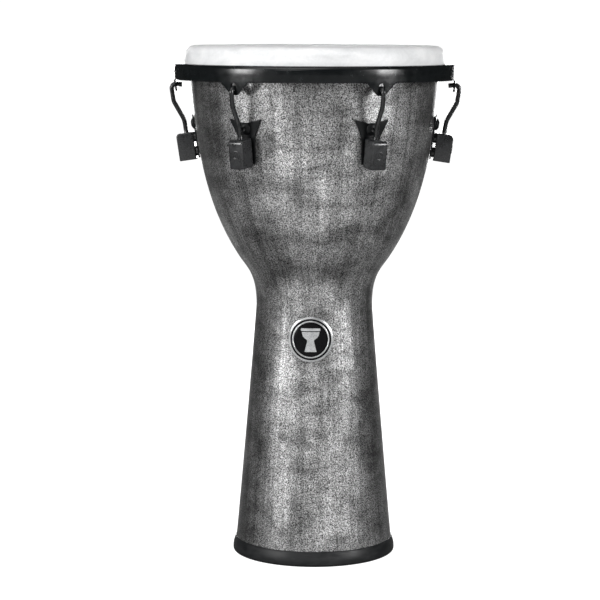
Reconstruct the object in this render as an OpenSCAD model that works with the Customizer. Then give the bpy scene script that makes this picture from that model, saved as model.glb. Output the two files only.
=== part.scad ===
// Goblet drum (djembe) with mechanical tuning, free-standing on a rubber foot ring.
// Millimetres, +Z up. Origin: centre of the footprint, on the floor. The badge faces -Y.
// The playing head is pulled down by a steel counterhoop, and each tuning hook pulls that
// hoop towards a lug box on the shell with a nut inside the box.

/* [Drum] */
// Height of the playing face above the floor
drum_h = 622; // [618:1:628]
// Number of tuning lugs, evenly spaced, the first towards +X
lug_count = 6; // [5:1:7]

/* [Shell] */
// Outer radius of the shell at its lower edge
foot_r = 97.5; // [95:0.5:99]
// Outer radius at the narrowest point of the neck
neck_r = 71; // [68:0.5:74]
// Height of the narrowest point of the neck
neck_z = 308; // [300:1:314]
// Outer radius just below the bearing edge
crown_r = 153.8; // [153.4:0.2:154.4]
// Wall thickness of the shell
shell_wall = 5; // [4:0.5:6]

/* [Head and counterhoop] */
// Outer radius of the head film's straight collar
collar_r = 157.85; // [157.75:0.05:157.95]
// Thickness of the head film
film_t = 0.7; // [0.5:0.1:0.8]
// Outer radius of the counterhoop
rim_r = 171.4; // [171:0.1:172]
// Sheet thickness of the counterhoop
rim_t = 2.6; // [2.2:0.1:2.8]

/* [Tuning lugs] */
// Diameter of the hook rods
rod_d = 5.5; // [5:0.1:5.6]
// Width of a lug box along the rim
box_w = 19.5; // [18:0.5:22]
// Height of a lug box along its rod
box_h = 33.5; // [32:0.5:36]
// Width of a mounting plate across its two horns
plate_w = 44.6; // [40:0.2:46]

/* [Badge] */
// Diameter of the round badge on the neck
badge_d = 54; // [46:0.2:54.4]
// Height of the badge's centre
badge_z = 273; // [262:1:275]

/* [Hidden] */
$fn = 128;
play = 0.05;          // radial clearance of every shaft in its hole
over = 1;             // how far a cut runs past the face it opens

// Heights that follow the playing face
film_under = drum_h - film_t;
film_lean = 1.25;
film_shoulder_r = 11;
film_shoulder = [collar_r - film_lean - film_shoulder_r, drum_h - film_shoulder_r];
rim_top = drum_h - 21.5;
rim_flange_t = 3;
rim_bottom = drum_h - 40.7;
hoop_top = rim_top - rim_flange_t;
hoop_bottom = hoop_top - 12;
film_end = drum_h - 31.2;

// Crown of the shell: its rounded edge lies just inside the film's shoulder
crown_round = shell_wall - 0.5;
crown_gap = film_shoulder_r - film_t - crown_round - play;
crown_in = crown_r - crown_round - film_shoulder[0];
crown_z = film_shoulder[1] + sqrt(crown_gap * crown_gap - crown_in * crown_in);

// Shell outline: a straight cone at the foot, then three smooth curves up to the crown
shell_bottom = 3;
cone_top = 21;
cone_taper = 1 / 9;
cone_end = [foot_r - (cone_top - shell_bottom) * cone_taper, cone_top];
neck = [neck_r, neck_z];
bowl = [91, 365];
bowl_lean = [2, 3];
crown = [crown_r, crown_z];
stem_curve = [cone_end, cone_end + 24 * [-cone_taper, 1], neck - [0, 10], neck];
waist_curve = [neck, neck + [0, 36], bowl - 4 * bowl_lean, bowl];
bowl_curve = [bowl, bowl + 22.7 * bowl_lean, crown - [7.8, 103.5], crown];

// Foot ring: rubber, wrapped round the shell's lower edge
foot_bore_r = 88;
foot_lip_out = 18.5;
foot_lip_in = 16.5;

// Flesh hoop: holds the collar of the head in a groove under the counterhoop's flange
hoop_in_r = 154;
hoop_out_r = 162;
groove_play = 0.45;
groove_depth = hoop_top - hoop_bottom - 1.5;

// Counterhoop ears, one per lug, with a slot for the hook
ear_bottom = rim_bottom - 14.7;
ear_half_w = 3.5;
ear_corner_r = 2.5;
ear_fillet_r = 5;
slot_w = 7.5;
slot_bottom = ear_bottom + 5.1;
slot_top = ear_bottom + 14.3;

// Lug frame: origin on the rod's axis at the top of the box, local X outwards,
// local Z up along the rod, which leans outwards with the shell
lug_z = drum_h - 106;
lug_r = 157;
lug_lean = 8.5;
rod_r = rod_d / 2;
thread_r = 3;
thread_end = -2;
rod_end = -27;

// Hook rod above the box: [length, 0] is straight, [bend radius, turn] is an arc,
// a positive turn leans outwards
hook_path = [[10.8, 0], [25, 21.5], [18.6, 0], [13, -21.3], [13, 0], [5.2, -103.7], [7.4, 0]];
seam_bead = 0.05;

// Lug box: open below, with two bosses that stand on the plate behind it
box_back = -8.6;
box_front = 12.1;
box_wall = 2;
box_top_t = 6;
box_round = 3;
boss_r = 6;
boss_w = [-6.5, -24];
box_hole_r = 3.3;

// Mounting plate: sheet steel, bent a little less than the shell
plate_out = -11.4;
plate_t = 1.7;
plate_bend_r = 190;
plate_top = 21;
plate_dip = 4;
plate_bottom = -32;
plate_low_w = 20;

// Bolt above the box, and two screws that come from inside the shell into the box
bolt_w = 10;
bolt_r = 3;
bolt_head_r = 7.25;
bolt_head_t = 4.3;
bolt_socket_af = 4;
bolt_socket_deep = 2.2;
bolt_end = -28.5;
screw_r = 2.5;
screw_tip = -7.4;
screw_head_r = 4.5;
screw_head_t = 3;
back_in = -21.9;
back_seat = back_in - 0.2;
back_t = 1.6;
back_bend_r = 133;
back_w = 18;
back_low = -33;
back_high = 19;
screw_socket_af = 4;
screw_socket_deep = 1.6;
bolt_nut_t = 4.5;
bolt_nut_af = 10;
bolt_washer_r = 6.5;
bolt_washer_t = 1;

// Tuning nut on the rod, below the box's top wall
washer_r = 5.9;
washer_t = 1.5;
washer_top = -box_top_t;
nut_top = washer_top - washer_t - play;
nut_flange_r = 6.1;
nut_flange_t = 1.5;
nut_af = 10;
nut_h = 9.5;

// Badge: ring, field and emblem lie on the neck as one curved disc
badge_field_r = badge_d / 2 - 6.4;
glue_gap = 0.05;
badge_ring_t = 1.2;
badge_field_t = 0.7;
emblem_t = 0.35;
badge_reach = neck_r + 40;

STATIC_NODES = ["shell", "foot_ring", "head_film", "flesh_hoop", "rim", "lug_bolts",
                "bolt_washers", "bolt_nuts", "lug_screws", "tuning_washers",
                "badge_ring", "badge_field", "badge_emblem"];
LUG_NODES = ["lug_box", "lug_plate", "backing_plate", "tuning_hook", "tuning_nut"];

// ---- outline helpers ----

function reverse(list) = [for (k = [len(list) - 1:-1:0]) list[k]];

function arc(centre, r, from, to, steps) =
    [for (k = [0:steps]) let (a = from + (to - from) * k / steps) centre + r * [cos(a), sin(a)]];

function curve_point(p, t) =
    pow(1 - t, 3) * p[0] + 3 * pow(1 - t, 2) * t * p[1]
    + 3 * (1 - t) * pow(t, 2) * p[2] + pow(t, 3) * p[3];

function curve_heading(p, t) =
    pow(1 - t, 2) * (p[1] - p[0]) + 2 * (1 - t) * t * (p[2] - p[1]) + pow(t, 2) * (p[3] - p[2]);

function outward(heading) = [heading[1], -heading[0]] / norm(heading);

// Points along a curve, moved outwards by a distance (negative is inwards)
function beside(p, steps, distance) =
    [for (k = [0:steps]) curve_point(p, k / steps) + distance * outward(curve_heading(p, k / steps))];

// Radius of the straight foot cone at a height, at a depth inside its outer face
function cone_radius(z, depth) =
    foot_r - (z - shell_bottom) * cone_taper - depth * norm([1, cone_taper]);

function without_first(list) = [for (k = [1:len(list) - 1]) list[k]];

function shell_side(distance) =
    concat(beside(stem_curve, 8, distance),
           without_first(beside(waist_curve, 9, distance)),
           without_first(beside(bowl_curve, 14, distance)));

// ---- placing helpers ----

module lug_frame(i) {
    rotate([0, 0, 360 / lug_count * (i - 1)])
        translate([lug_r, 0, lug_z])
            rotate([0, lug_lean, 0])
                children();
}

module each_lug() {
    for (i = [1:lug_count])
        lug_frame(i)
            children();
}

// A cylinder along the lug frame's X axis, at a height along the rod
module cross_rod(r, from, to, w) {
    translate([from, 0, w])
        rotate([0, 90, 0])
            cylinder(r = r, h = to - from);
}

// A hexagonal nut body with its axis along Z
module hexagon(across_flats, h) {
    cylinder(r = across_flats / 2 / cos(30), h = h, $fn = 6);
}

// Holes for a lug's bolt and two screws through everything behind its box
module fixing_holes() {
    reach = 40;
    cross_rod(bolt_r + play, -reach, 0, bolt_w);
    for (w = boss_w)
        cross_rod(screw_r + play, -reach, 0, w);
}

// A bent sheet between two distances along X, bent about an axis parallel to the rod
module bent_sheet(inner, outer, bend_r) {
    h = 120;
    translate([inner - bend_r, 0, 0])
        difference() {
            cylinder(r = bend_r + outer - inner, h = h, center = true);
            cylinder(r = bend_r, h = h + 2 * over, center = true);
        }
}

// ---- shell, head and hoops ----

module shell() {
    crown_flat_r = crown_r - shell_wall;
    outline = concat([[foot_r, shell_bottom]],
                     shell_side(0),
                     without_first(arc([crown_r - crown_round, crown_z], crown_round, 0, 90, 5)),
                     [[crown_flat_r, crown_z + crown_round]],
                     reverse(shell_side(-shell_wall)),
                     [[cone_radius(shell_bottom, shell_wall), shell_bottom]]);
    color("slategray")
        difference() {
            rotate_extrude()
                polygon(outline);
            each_lug()
                fixing_holes();
        }
}

module foot_ring() {
    widest = foot_r + 2.3;
    round_r = 3;
    outline = concat([[foot_bore_r + 2, 0]],
                     arc([widest - round_r, round_r], round_r, -90, 0, 5),
                     [[widest, 5],
                      [widest - 1.1, 11],
                      [cone_radius(foot_lip_out, 0) + 0.8, foot_lip_out],
                      [cone_radius(foot_lip_out, 0), foot_lip_out],
                      [foot_r, shell_bottom],
                      [cone_radius(shell_bottom, shell_wall), shell_bottom],
                      [cone_radius(foot_lip_in, shell_wall), foot_lip_in],
                      [foot_bore_r + 1, foot_lip_in],
                      [foot_bore_r, foot_lip_in - 1],
                      [foot_bore_r, 2]]);
    color([0.07, 0.07, 0.08])
        rotate_extrude()
            polygon(outline);
}

module head_film() {
    collar_top = drum_h - 20.8;
    outline = concat([[0, drum_h]],
                     reverse(arc(film_shoulder, film_shoulder_r, 0, 90, 9)),
                     [[collar_r, collar_top],
                      [collar_r, film_end],
                      [collar_r - film_t, film_end],
                      [collar_r - film_t, collar_top]],
                     arc(film_shoulder, film_shoulder_r - film_t, 0, 90, 9),
                     [[0, film_under]]);
    color("whitesmoke")
        rotate_extrude()
            polygon(outline);
}

module flesh_hoop() {
    groove_in_r = collar_r - film_t - groove_play;
    groove_out_r = collar_r + groove_play;
    color([0.1, 0.1, 0.11])
        difference() {
            rotate_extrude()
                polygon([[hoop_in_r, hoop_bottom + 1],
                         [hoop_in_r + 1, hoop_bottom],
                         [hoop_out_r - 1, hoop_bottom],
                         [hoop_out_r, hoop_bottom + 1],
                         [hoop_out_r, hoop_top],
                         [hoop_in_r, hoop_top]]);
            translate([0, 0, hoop_top - groove_depth])
                difference() {
                    cylinder(r = groove_out_r, h = groove_depth + over);
                    translate([0, 0, -over])
                        cylinder(r = groove_in_r, h = groove_depth + 3 * over);
                }
        }
}

// Outline of one ear in the plane that faces outwards
module ear_face() {
    blend = 1 - 2 * sin(45);
    fillet_v = ear_half_w + (rim_bottom - ear_bottom) - (ear_corner_r + ear_fillet_r) * blend;
    right = concat(arc([ear_half_w, ear_bottom + ear_corner_r], ear_corner_r, -90, -45, 3),
                   arc([fillet_v, rim_bottom - ear_fillet_r], ear_fillet_r, 135, 90, 4),
                   [[fillet_v, rim_bottom + 3]]);
    left = [for (p = reverse(right)) [-p[0], p[1]]];
    polygon(concat(right, left));
}

// Slot for the hook: a rounded opening along the radius
module ear_slot() {
    r = slot_w / 2;
    depth = 24;
    for (z = [slot_bottom + r, slot_top - r])
        translate([rim_r, 0, z])
            rotate([0, 90, 0])
                cylinder(r = r, h = depth, center = true);
    translate([rim_r, 0, (slot_bottom + slot_top) / 2])
        cube([depth, slot_w, slot_top - slot_bottom - slot_w], center = true);
}

module rim() {
    shoulder_r = 5;
    lip_r = collar_r + 0.85;
    waist_z = rim_bottom + 9.7;
    inner_r = rim_r - rim_t;
    edge_bevel = 0.8;
    flange_bend_r = 2;
    section = concat([[inner_r - 0.4, rim_bottom],
                      [rim_r - 0.5, rim_bottom],
                      [rim_r, waist_z]],
                     arc([rim_r - shoulder_r, rim_top - shoulder_r], shoulder_r, 0, 90, 6),
                     [[lip_r + edge_bevel, rim_top],
                      [lip_r, rim_top - edge_bevel],
                      [lip_r, hoop_top]],
                     arc([inner_r, hoop_top] - [1, 1] * flange_bend_r, flange_bend_r, 90, 0, 3),
                     [[inner_r, waist_z]]);
    // The ears are pressed inwards of the band, down to their lower edge
    ear_sheet = [[rim_r - 4.2, ear_bottom - 1],
                 [rim_r - 1.9, ear_bottom - 1],
                 [rim_r - 0.4, rim_bottom + 1],
                 [rim_r - 0.5, rim_bottom + 4],
                 [rim_r - 2.5, rim_bottom + 4],
                 [rim_r - 2.8, rim_bottom]];
    color([0.09, 0.09, 0.1])
        difference() {
            union() {
                rotate_extrude()
                    polygon(section);
                for (i = [1:lug_count])
                    rotate([0, 0, 360 / lug_count * (i - 1)])
                        intersection() {
                            rotate_extrude()
                                polygon(ear_sheet);
                            translate([rim_r, 0, 0])
                                rotate([90, 0, 90])
                                    linear_extrude(height = 20, center = true)
                                        ear_face();
                        }
            }
            for (i = [1:lug_count])
                rotate([0, 0, 360 / lug_count * (i - 1)])
                    ear_slot();
        }
}

// ---- lug pieces that stay on the shell ----

// Sheet steel shield with two horns, bolted to the shell behind its box
module lug_plate(i) {
    horn = plate_w / 2;
    low = plate_low_w / 2;
    corner = 1.5;
    right = [[low - corner, plate_bottom],
             [low, plate_bottom + corner],
             [box_w / 2 + 2.6, 0],
             [horn, plate_top - 2.2],
             [horn - 0.6, plate_top - 0.5],
             [horn - 2.2, plate_top],
             [horn - 9, plate_top - 1.8],
             [4, plate_top - plate_dip]];
    left = [for (p = reverse(right)) [-p[0], p[1]]];
    color([0.1, 0.1, 0.11])
        lug_frame(i)
            difference() {
                intersection() {
                    bent_sheet(plate_out - plate_t, plate_out, plate_bend_r);
                    translate([plate_out, 0, 0])
                        rotate([90, 0, 90])
                            linear_extrude(height = 24, center = true)
                                polygon(concat(right, left));
                }
                fixing_holes();
            }
}

module lug_box(i) {
    depth = box_front - box_back;
    side_face = concat([[box_back, -box_h], [box_front, -box_h]],
                       arc([box_front, 0] - [1, 1] * box_round, box_round, 0, 90, 6),
                       [[box_back, 0]]);
    color([0.12, 0.12, 0.13])
        lug_frame(i)
            difference() {
                union() {
                    translate([0, box_w / 2, 0])
                        rotate([90, 0, 0])
                            linear_extrude(height = box_w)
                                polygon(side_face);
                    for (w = boss_w)
                        cross_rod(boss_r, plate_out, box_back + box_wall / 2, w);
                }
                translate([box_back + box_wall, box_wall - box_w / 2, -box_h - over])
                    cube([depth - 2 * box_wall, box_w - 2 * box_wall, box_h + over - box_top_t]);
                translate([0, 0, -box_top_t - over])
                    cylinder(r = box_hole_r, h = box_top_t + 2 * over);
                for (w = boss_w)
                    cross_rod(screw_r + play, plate_out - over, box_back + box_wall + over, w);
            }
}

// Strip inside the shell that spreads the load of the bolt and the screws
module backing_plate(i) {
    color([0.55, 0.56, 0.58])
        lug_frame(i)
            difference() {
                intersection() {
                    bent_sheet(back_in, back_in + back_t, back_bend_r);
                    translate([back_in, 0, (back_low + back_high) / 2])
                        cube([12, back_w, back_high - back_low], center = true);
                }
                fixing_holes();
            }
}

module lug_bolts() {
    edge_t = 1.2;
    dome_rise = bolt_head_t - edge_t;
    dome_r = (pow(bolt_head_r, 2) + pow(dome_rise, 2)) / (2 * dome_rise);
    dome_centre = [0, plate_out + bolt_head_t - dome_r];
    outline = concat([[0, bolt_end], [bolt_r, bolt_end], [bolt_r, plate_out], [bolt_head_r, plate_out]],
                     arc(dome_centre, dome_r, acos(bolt_head_r / dome_r), 90, 6));
    color([0.1, 0.1, 0.11])
        each_lug()
            translate([0, 0, bolt_w])
                rotate([0, 90, 0])
                    difference() {
                        rotate_extrude()
                            polygon(outline);
                        translate([0, 0, plate_out + bolt_head_t - bolt_socket_deep])
                            hexagon(bolt_socket_af, bolt_socket_deep + over);
                    }
}

module bolt_washers() {
    color("silver")
        each_lug()
            difference() {
                cross_rod(bolt_washer_r, back_seat - bolt_washer_t, back_seat, bolt_w);
                fixing_holes();
            }
}

module bolt_nuts() {
    nut_face = back_seat - bolt_washer_t;
    color("silver")
        each_lug()
            difference() {
                translate([nut_face - bolt_nut_t, 0, bolt_w])
                    rotate([0, 90, 0])
                        hexagon(bolt_nut_af, bolt_nut_t);
                fixing_holes();
            }
}

module lug_screws() {
    color("silver")
        each_lug()
            for (w = boss_w) {
                cross_rod(screw_r, back_seat - 1, screw_tip, w);
                difference() {
                    cross_rod(screw_head_r, back_seat - screw_head_t, back_seat, w);
                    translate([back_seat - screw_head_t - over, 0, w])
                        rotate([0, 90, 0])
                            hexagon(screw_socket_af, screw_socket_deep + over);
                }
            }
}

// ---- pieces that move when the drum is tuned ----

// The rest of a bent rod from its current point, which is at the origin heading up Z.
// A bead a little proud of the rod closes the seam where two stretches meet.
module bent_rod(path) {
    size = path[0][0];
    turn = path[0][1];
    side = sign(turn);
    if (turn == 0)
        cylinder(r = rod_r, h = size);
    else
        rotate([90, 0, 90 + side * 90])
            translate([-size, 0, 0])
                rotate_extrude(angle = abs(turn))
                    translate([size, 0])
                        circle(r = rod_r);
    if (len(path) > 1)
        translate(turn == 0 ? [0, 0, size] : size * [side * (1 - cos(turn)), 0, sin(abs(turn))])
            rotate([0, turn, 0]) {
                sphere(r = rod_r + seam_bead);
                bent_rod(without_first(path));
            }
}

module tuning_hook(i) {
    color([0.1, 0.1, 0.11])
        lug_frame(i) {
            translate([0, 0, rod_end])
                cylinder(r = thread_r, h = thread_end - rod_end);
            translate([0, 0, thread_end - over])
                cylinder(r = rod_r, h = over - thread_end);
            bent_rod(hook_path);
        }
}

module tuning_nut(i) {
    color("silver")
        lug_frame(i)
            translate([0, 0, nut_top - nut_h])
                difference() {
                    union() {
                        hexagon(nut_af, nut_h);
                        translate([0, 0, nut_h - nut_flange_t])
                            cylinder(r = nut_flange_r, h = nut_flange_t);
                    }
                    translate([0, 0, -over])
                        cylinder(r = thread_r + play, h = nut_h + 2 * over);
                }
}

module tuning_washers() {
    color("silver")
        each_lug()
            translate([0, 0, washer_top - washer_t])
                difference() {
                    cylinder(r = washer_r, h = washer_t);
                    translate([0, 0, -over])
                        cylinder(r = box_hole_r, h = washer_t + 2 * over);
                }
}

// ---- badge ----

// A layer that follows the neck's outer face between two distances from it,
// over the upper part of the stem
module neck_layer(inner, outer) {
    low = 0.6;
    outline = [for (d = [inner, outer])
                  for (k = [0:8])
                      let (s = (d == inner) ? k / 8 : 1 - k / 8,
                           t = low + (1 - low) * s)
                      curve_point(stem_curve, t) + d * outward(curve_heading(stem_curve, t))];
    rotate_extrude()
        polygon(outline);
}

// A round bar along -Y that cuts the badge out of a neck layer
module badge_bar(r) {
    translate([0, 0, badge_z])
        rotate([90, 0, 0])
            cylinder(r = r, h = badge_reach);
}

module badge_ring() {
    color("silver")
        intersection() {
            neck_layer(glue_gap, glue_gap + badge_ring_t);
            difference() {
                badge_bar(badge_d / 2);
                badge_bar(badge_field_r);
            }
        }
}

module badge_field() {
    color([0.02, 0.02, 0.02])
        intersection() {
            neck_layer(glue_gap, glue_gap + badge_field_t);
            badge_bar(badge_field_r - play);
        }
}

// A goblet drum seen from the side: a bar for the head, a round bowl and a flared foot
module goblet_face() {
    translate([-11.5, 10.4])
        square([23, 3.1]);
    intersection() {
        translate([0, 9.7])
            circle(r = 10.6);
        translate([-11, 0])
            square([22, 9.2]);
    }
    polygon([[-5.5, 0.7], [5.5, 0.7], [4, -1.4], [7.2, -14.5], [-7.2, -14.5], [-4, -1.4]]);
}

module badge_emblem() {
    color("silver")
        intersection() {
            neck_layer(glue_gap + badge_field_t, glue_gap + badge_field_t + emblem_t);
            translate([0, 0, badge_z])
                rotate([90, 0, 0])
                    linear_extrude(height = badge_reach)
                        goblet_face();
        }
}

// ---- drawing ----

shell();
foot_ring();
head_film();
flesh_hoop();
rim();
lug_bolts();
bolt_washers();
bolt_nuts();
lug_screws();
tuning_washers();
badge_ring();
badge_field();
badge_emblem();
for (i = [1:lug_count]) {
    lug_box(i);
    lug_plate(i);
    backing_plate(i);
    tuning_hook(i);
    tuning_nut(i);
}
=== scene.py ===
"""Looks of a goblet drum (djembe) with mechanical tuning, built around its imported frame.

Outlines are written in millimetres, as (radius, height) for turned pieces, and become metres in
the meshes. The drum stands on the floor at the origin with its badge facing -Y.
"""

import math
from contextlib import contextmanager

import bmesh
import bpy
from mathutils import Matrix, Vector


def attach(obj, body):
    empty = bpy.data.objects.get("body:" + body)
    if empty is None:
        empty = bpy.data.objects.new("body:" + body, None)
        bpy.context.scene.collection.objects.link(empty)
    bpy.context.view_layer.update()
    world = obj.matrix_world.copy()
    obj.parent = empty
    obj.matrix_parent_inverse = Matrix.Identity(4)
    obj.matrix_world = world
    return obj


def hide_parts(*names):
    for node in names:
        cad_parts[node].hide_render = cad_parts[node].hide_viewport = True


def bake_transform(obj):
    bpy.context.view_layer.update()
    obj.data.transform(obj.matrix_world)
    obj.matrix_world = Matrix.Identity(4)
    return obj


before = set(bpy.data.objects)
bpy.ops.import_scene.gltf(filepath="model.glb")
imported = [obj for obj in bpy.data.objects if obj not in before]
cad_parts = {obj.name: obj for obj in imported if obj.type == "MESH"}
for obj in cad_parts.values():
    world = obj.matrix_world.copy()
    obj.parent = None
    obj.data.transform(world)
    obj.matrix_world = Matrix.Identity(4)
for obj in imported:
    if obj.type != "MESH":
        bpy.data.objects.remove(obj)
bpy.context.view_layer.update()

MM = 0.001
LUGS = 6

# Heights and radii of the drum
DRUM_H = 622.0
FILM_T = 0.7
FILM_UNDER = DRUM_H - FILM_T
FILM_END = DRUM_H - 31.2
SHELL_WALL = 5.0
SHELL_BOTTOM = 3.0
FOOT_R = 97.5
CONE_TAPER = 1 / 9
COLLAR_R = 157.85
FILM_LEAN = 1.25
FILM_SHOULDER_R = 11.0
FILM_SHOULDER = (COLLAR_R - FILM_LEAN - FILM_SHOULDER_R, DRUM_H - FILM_SHOULDER_R)
CROWN_R = 153.8
CROWN_ROUND = SHELL_WALL - 0.5
CROWN_GAP = FILM_SHOULDER_R - FILM_T - CROWN_ROUND - 0.05
CROWN_Z = FILM_SHOULDER[1] + math.sqrt(CROWN_GAP ** 2 - (CROWN_R - CROWN_ROUND - FILM_SHOULDER[0]) ** 2)
RIM_R = 171.4
RIM_T = 2.6
RIM_TOP = DRUM_H - 21.5
RIM_BOTTOM = DRUM_H - 40.7
RIM_WAIST = RIM_BOTTOM + 9.7
RIM_LEAN = 0.5
EAR_BOTTOM = RIM_BOTTOM - 14.7
EAR_LEAN = 1.4
EAR_HALF_W, EAR_CORNER_R, EAR_FILLET_R = 3.5, 2.5, 5.0
SLOT_LOW, SLOT_HIGH, SLOT_R = EAR_BOTTOM + 5.1, EAR_BOTTOM + 14.3, 3.75
HOOP_TOP = RIM_TOP - 3
HOOP_BOTTOM = HOOP_TOP - 12
HOOP_IN, HOOP_OUT = 154.0, 162.0

# Shell outline: a straight cone at the foot, then three smooth curves up to the crown
NECK_R = 71.0
NECK_Z = 308.0
CONE_END = (FOOT_R - 18 * CONE_TAPER, 21.0)
BOWL = (91.0, 365.0)
STEM_CURVE = [CONE_END, (CONE_END[0] - 24 * CONE_TAPER, CONE_END[1] + 24),
              (NECK_R, NECK_Z - 10), (NECK_R, NECK_Z)]
WAIST_CURVE = [(NECK_R, NECK_Z), (NECK_R, NECK_Z + 36), (BOWL[0] - 8, BOWL[1] - 12), BOWL]
BOWL_CURVE = [BOWL, (BOWL[0] + 45.4, BOWL[1] + 68.1), (CROWN_R - 7.8, CROWN_Z - 103.5), (CROWN_R, CROWN_Z)]

# Lug frame: origin on the rod's axis at the top of the box, u outwards, v along the rim, w up the rod
LUG_R = 157.0
LUG_Z = DRUM_H - 106
LUG_LEAN = math.radians(8.5)
ROD_R = 2.75
THREAD_R = 3.0
THREAD_PITCH = 1.0
THREAD_END = -2.0
ROD_END = -27.0
# The bent rod, upwards from the box: (length, 0) runs straight, (radius, degrees) turns
HOOK_PATH = [(10.8, 0), (25, 21.5), (18.6, 0), (13, -21.3), (13, 0), (5.2, -103.7), (7.4, 0)]
BOX_BACK, BOX_FRONT, BOX_W, BOX_H = -8.6, 12.1, 19.5, 33.5
BOX_WALL, BOX_TOP_T, BOX_ROUND = 2.0, 6.0, 4.6
ROD_HOLE_R, SCREW_HOLE_R, BOSS_R = 3.3, 2.55, 6.0
BOSS_W = (-6.5, -24.0)
BOLT_W = 10.0
PLATE_OUT, PLATE_T, PLATE_BEND_R = -11.4, 1.7, 190.0
PLATE_TOP, PLATE_BOTTOM, PLATE_HORN, PLATE_LOW = 21.0, -32.0, 22.3, 10.0
NUT_TOP, NUT_H = -7.55, 9.5

# Badge
BADGE_R = 27.0
BADGE_FIELD_R = 20.6
GROOVE_R = 22.4
GROOVE_OUT_R = BADGE_R - 2.4
BADGE_Z = 273.0
GLUE = 0.05
FIELD_T = 0.7
EMBLEM_T = 0.35


# ---- outlines ----

def arc(centre, r, start, end, steps):
    """Points on an arc, angles in degrees."""
    turns = [math.radians(start + (end - start) * k / steps) for k in range(steps + 1)]
    return [(centre[0] + r * math.cos(a), centre[1] + r * math.sin(a)) for a in turns]


def curve_point(p, t):
    """Point on a cubic curve given by its four control points."""
    s = 1 - t
    weights = (s ** 3, 3 * s * s * t, 3 * s * t * t, t ** 3)
    return tuple(sum(w * q[k] for w, q in zip(weights, p)) for k in (0, 1))


def curve_normal(p, t):
    """Unit vector to the right of the curve's heading, which is outwards on the shell."""
    s = 1 - t
    weights = (s * s, 2 * s * t, t * t)
    heading = [sum(w * (p[i + 1][k] - p[i][k]) for i, w in enumerate(weights)) for k in (0, 1)]
    size = math.hypot(*heading)
    return heading[1] / size, -heading[0] / size


def beside(p, steps, distance):
    """Points along a curve, moved outwards by a distance."""
    out = []
    for k in range(steps + 1):
        q, n = curve_point(p, k / steps), curve_normal(p, k / steps)
        out.append((q[0] + distance * n[0], q[1] + distance * n[1]))
    return out


def shell_side(distance):
    """The shell's side from the cone's end to the crown, moved outwards by a distance."""
    return (beside(STEM_CURVE, 26, distance) + beside(WAIST_CURVE, 22, distance)[1:]
            + beside(BOWL_CURVE, 40, distance)[1:])


def shell_radius(z):
    """Outer radius of the shell at a height, by walking its outline."""
    side = [(FOOT_R, SHELL_BOTTOM)] + shell_side(0)
    for (r0, z0), (r1, z1) in zip(side, side[1:]):
        if z0 <= z <= z1:
            return r0 + (r1 - r0) * (z - z0) / (z1 - z0)
    return side[-1][0]


def cone_radius(z, depth=0.0):
    """Radius of the foot's straight cone at a height, a depth below its outer face."""
    return FOOT_R - (z - SHELL_BOTTOM) * CONE_TAPER - depth * math.hypot(1, CONE_TAPER)


def rounded(points, r, steps=4):
    """A closed outline with its corners rounded; r is one radius or one for each corner."""
    out = []
    count = len(points)
    for k, p in enumerate(points):
        size = r[k] if isinstance(r, (list, tuple)) else r
        if size == 0:
            out.append(tuple(p))
            continue
        corner = Vector(p)
        to_last = (Vector(points[k - 1]) - corner).normalized()
        to_next = (Vector(points[(k + 1) % count]) - corner).normalized()
        half = to_last.angle(to_next) / 2
        back = size / math.tan(half)
        centre = corner + (to_last + to_next).normalized() * (size / math.sin(half))
        start = corner + to_last * back - centre
        end = corner + to_next * back - centre
        for s in range(steps + 1):
            ray = start.slerp(end, s / steps)
            out.append(tuple(centre + ray.normalized() * size))
    return out


# ---- meshes ----

def linked(name, data):
    """A new object in the scene for a mesh, a lamp or a camera."""
    made = bpy.data.objects.new(name, data)
    bpy.context.scene.collection.objects.link(made)
    return made


def from_bmesh(name, bm):
    """A new object from an edited mesh, which is freed."""
    mesh = bpy.data.meshes.new(name)
    bm.to_mesh(mesh)
    bm.free()
    return linked(name, mesh)


@contextmanager
def edited(mesh):
    """Opens a mesh for editing and writes it back."""
    bm = bmesh.new()
    bm.from_mesh(mesh)
    yield bm
    bm.to_mesh(mesh)
    bm.free()


def mesh_object(name, points, faces):
    """An object from points in millimetres; doubled points are joined and faces turned outwards."""
    mesh = bpy.data.meshes.new(name)
    mesh.from_pydata([[c * MM for c in p] for p in points], [], faces)
    joined_up(mesh)
    return linked(name, mesh)


def joined_up(mesh, near=1e-6):
    """Joins points that are nearly in one place, and removes what has no area left."""
    with edited(mesh) as bm:
        bmesh.ops.remove_doubles(bm, verts=bm.verts, dist=near)
        bmesh.ops.dissolve_degenerate(bm, edges=bm.edges, dist=1e-7)
        bmesh.ops.delete(bm, geom=[e for e in bm.edges if not e.link_faces], context="EDGES")
        face_out(bm)


def face_out(bm):
    """Turns the faces of a closed mesh outwards."""
    bmesh.ops.recalc_face_normals(bm, faces=bm.faces)
    if bm.calc_volume(signed=True) < 0:
        bmesh.ops.reverse_faces(bm, faces=bm.faces)


def face_sheet(piece, outer_side):
    """Turns an open sheet's faces to its outer side; outer_side(place) is that side's direction."""
    with edited(piece.data) as bm:
        if sum(f.normal.dot(outer_side(f.calc_center_median())) for f in bm.faces) < 0:
            bmesh.ops.reverse_faces(bm, faces=bm.faces)


def smooth(piece, sharp=32):
    """Smooth shading with creases kept along edges sharper than an angle in degrees."""
    with edited(piece.data) as bm:
        for face in bm.faces:
            face.smooth = True
        for edge in bm.edges:
            edge.smooth = len(edge.link_faces) == 2 and edge.calc_face_angle(0) < math.radians(sharp)
    return piece


def grid(rows, wrap_rows, wrap_cols):
    """Quads over rows of points of equal length."""
    points = [p for row in rows for p in row]
    width = len(rows[0])
    faces = []
    for i in range(len(rows) if wrap_rows else len(rows) - 1):
        for k in range(width if wrap_cols else width - 1):
            i2, k2 = (i + 1) % len(rows), (k + 1) % width
            faces.append((i * width + k, i * width + k2, i2 * width + k2, i2 * width + k))
    return points, faces


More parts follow.
